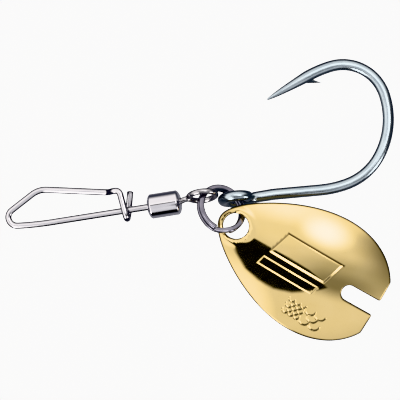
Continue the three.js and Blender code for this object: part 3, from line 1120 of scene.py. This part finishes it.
def studio_world():
    """Soft light from all round, with the darker and brighter parts that the metal reflects."""
    world = bpy.data.worlds.new("studio")
    bpy.context.scene.world = world
    world.use_nodes = True
    tree = world.node_tree
    direction = add(tree, "TexCoord").outputs["Generated"]
    sky = with_patches(tree, direction, SKY_BASE, SKY)
    light = mixed(tree, cone(tree, direction, *FLOOR_GLOW), DARK_ROOM, GLOW)
    light = mixed(tree, cone(tree, direction, *TENT), light, sky)
    light = mixed(tree, cone(tree, direction, *BLACK_CARD), light, CARD_BLACK)
    light = with_patches(tree, direction, light, LOW_LIGHTS)
    light = mixed(tree, add(tree, "LightPath").outputs["Is Camera Ray"], light, BACKDROP)
    tree.links.new(light, tree.nodes["Background"].inputs["Color"])


FLAG_HEIGHT = 50
FLAG_BLACK = (0.003, 0.003, 0.003)
# Core and faded edge, corner by corner, millimetres.
BLADE_FLAG = (
    [(-13, -11.5), (-3, -7.2), (4, -11), (15, -17), (25, -23.5), (34, -35), (28, -37), (14, -40),
     (4.4, -39), (-3.2, -34.2), (-8.8, -28), (-11.6, -19)],
    [(-14.5, -11), (-3, -6.4), (4.4, -10.2), (15.4, -16.2), (25.6, -22.9), (36, -35.2), (29, -38.5),
     (13.5, -42.5), (3, -41.4), (-5.6, -36.4), (-11.2, -29.4), (-13.8, -19)],
)
BARREL_FLAG = (
    [(-22, 5), (-13, 5), (-13, 8), (-22, 8)],
    [(-23, 2), (-12, 2), (-12, 11), (-23, 11)],
)


def fading_black(name):
    """Black that goes over to nothing where the mesh's shade goes to 0."""
    material, tree, bsdf = shader(name)
    tree.nodes.remove(bsdf)
    clear = add(tree, "BsdfTransparent")
    black = add(tree, "Emission", Color=(*FLAG_BLACK, 1))
    shade = stored(tree, "shade").outputs["Fac"]
    mix = add(tree, "MixShader", shade, clear.outputs[0], black.outputs[0])
    tree.links.new(mix.outputs[0], tree.nodes["Material Output"].inputs["Surface"])
    return material


def flag(name, core, edge):
    """A black card over the lure, seen only in its reflections. It fades out from core to edge."""
    count = len(core)
    faces = [tuple(range(count))] + band(0, count, count)
    mesh = bpy.data.meshes.new(name)
    mesh.from_pydata([(x * MM, y * MM, FLAG_HEIGHT * MM) for x, y in core + edge], [], faces)
    strength = mesh.attributes.new("shade", "FLOAT", "POINT")
    strength.data.foreach_set("value", [1.0] * count + [0.0] * count)
    mesh.materials.append(fading_black(name))
    card = in_scene(name, mesh)
    card.visible_camera = False
    card.visible_diffuse = False
    card.visible_shadow = False


FLOOR_DROP = 26  # the hook and the blade swing down, so the floor lies lower than the lure
FLOOR_REACH = 40  # each way, in diagonals of the lure
FLOOR_LIGHT = 1.8


def studio_floor():
    low, high = CAD_BOX
    reach = (high - low).length * FLOOR_REACH
    depth = low.z - FLOOR_DROP * MM
    mesh = bpy.data.meshes.new("floor")
    corners = [(-reach, -reach, depth), (reach, -reach, depth), (reach, reach, depth), (-reach, reach, depth)]
    mesh.from_pydata(corners, [], [(0, 1, 2, 3)])
    floor = in_scene("floor", mesh)
    material, _, bsdf = shader("floor")
    set_inputs(bsdf, Base_Color=(0.12, 0.12, 0.12, 1), Roughness=1.0, Specular_IOR_Level=0.0)
    set_inputs(bsdf, Emission_Color=(1, 1, 1, 1), Emission_Strength=FLOOR_LIGHT)
    mesh.materials.append(material)
    floor.visible_glossy = False


CAMERA = {
    "lens": 900,
    "sensor": 36,
    "margin": 1.0267,  # the picture's width, as a share of the lure's
    "focus": 0.4,  # the height that fills the picture so, as a share of the lure's
    "aim": (0.06, -0.02),
}


def camera():
    low, high = CAD_BOX
    data = bpy.data.cameras.new("camera")
    data.lens = CAMERA["lens"]
    data.sensor_width = CAMERA["sensor"]
    eye = in_scene("camera", data)
    width = (high.x - low.x) * CAMERA["margin"]
    height = (low.z + high.z) * CAMERA["focus"] + width * CAMERA["lens"] / CAMERA["sensor"]
    eye.location = (CAMERA["aim"][0] * MM, CAMERA["aim"][1] * MM, height)
    bpy.context.scene.camera = eye


# ---------------- the lure

gold = gold_plate()
# The darker colours given below for the flanks are painted shade, for the sides that face sideways at rest.
dark_nickel = metal(
    "dark_nickel", (0.20, 0.195, 0.24), (0.30, 0.29, 0.345), roughness=(0.05, 0.10),
    grain_scale=6, bump=0.000006, painted_side_shade=(0.06, 0.06, 0.08),
)
tin = metal(
    "tinned_steel", (0.42, 0.49, 0.54), (0.52, 0.59, 0.635), roughness=(0.13, 0.22),
    grain_scale=5, bump=0.00001, painted_side_shade=(0.18, 0.22, 0.26), steepness=(0.9, 0.6),
)
nickel = metal(
    "bright_nickel", (0.70, 0.69, 0.73), (0.78, 0.77, 0.80), roughness=(0.04, 0.08),
    grain_scale=4, bump=0.000002,
)
eye_metal = metal(
    "swivel_steel", (0.38, 0.37, 0.39), (0.52, 0.51, 0.53), roughness=(0.05, 0.10),
    grain_scale=6, bump=0.000003, painted_side_shade=(0.20, 0.19, 0.21),
)
wire_metal = metal(
    "nickel_wire", (0.64, 0.63, 0.66), (0.72, 0.71, 0.74), roughness=(0.05, 0.10),
    grain_scale=6, bump=0.000003, painted_side_shade=(0.07, 0.07, 0.10), steepness=(0.9, 0.66),
)

blade = solid("blade", spoon_blade(), BLADE_PLACE, gold)
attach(blade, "blade")
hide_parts("spoon_blade")

ring = solid("ring_coil", split_ring(), RING_PLACE, dark_nickel)
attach(ring, "ring")
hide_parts("split_ring")

wire_shape, foot, heading = hook_wire()
hook = solid("hook_wire", wire_shape, HOOK_PLACE, tin)
barb = solid("barb", barb_shape(foot, heading), HOOK_PLACE, tin)
hook = joined(hook, barb)
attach(hook, "hook")
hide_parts("hook")

barrel = solid("barrel_shell", swivel_barrel(), SWIVEL_PLACE, nickel)
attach(barrel, "barrel")
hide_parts("swivel_barrel")

eye = solid("eye_wire", swivel_eye(), SWIVEL_PLACE, eye_metal)
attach(eye, "eye")
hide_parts("swivel_eye")

leg_shape, bend_shape, arm_shape, bend_start, bend_end = snap_shapes()
leg = solid("snap_leg", leg_shape, SWIVEL_PLACE, wire_metal)
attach(leg, "snap")
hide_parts("snap_wire")
bend = solid("snap_bend", bend_shape, SWIVEL_PLACE, wire_metal)
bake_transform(bend)
arm = solid("snap_arm_wire", arm_shape, SWIVEL_PLACE, wire_metal)
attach(arm, "arm")
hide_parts("snap_arm")

camera()
studio_floor()
studio_world()
flag("blade_flag", *BLADE_FLAG)
flag("barrel_flag", *BARREL_FLAG)
bpy.context.scene.view_settings.view_transform = "Khronos PBR Neutral"
